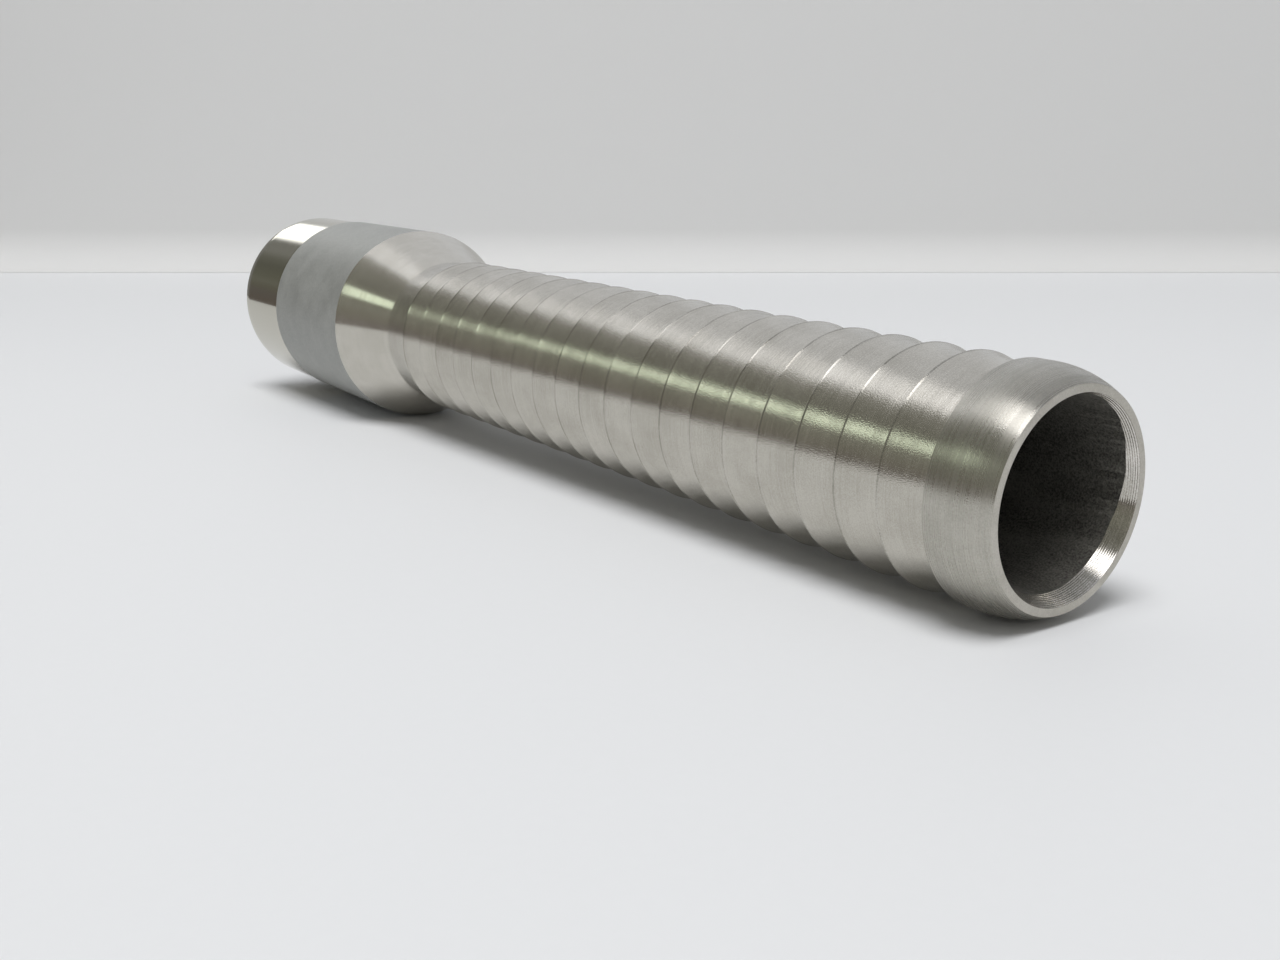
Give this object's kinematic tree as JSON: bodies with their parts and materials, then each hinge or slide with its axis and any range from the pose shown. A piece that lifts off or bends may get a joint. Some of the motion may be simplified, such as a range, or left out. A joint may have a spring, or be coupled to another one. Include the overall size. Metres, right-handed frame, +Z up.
{
  "type": "serrated hose stem",
  "caption": "Long stainless steel hose stem with a serrated shank, a turned shoulder and a plain polished pipe end, open along its bore.",
  "frame": {"origin": "centre of the cut face of the pipe end", "axes": "+X along the stem from the pipe end to the nose that goes into the hose, +Z up as the stem lies"},
  "size_m": [0.1893, 0.0334, 0.0334],
  "materials": {
    "turned_steel": "fine turned stainless steel, satin, with lathe lines around it",
    "mill_steel": "dull pickled mill finish of stainless pipe",
    "polished_steel": "mirror polished stainless steel"
  },
  "bodies": {
    "root": {"hose_shank": "turned_steel", "pipe_collar": "mill_steel", "polished_end": "polished_steel"}
  },
  "joints": []
}
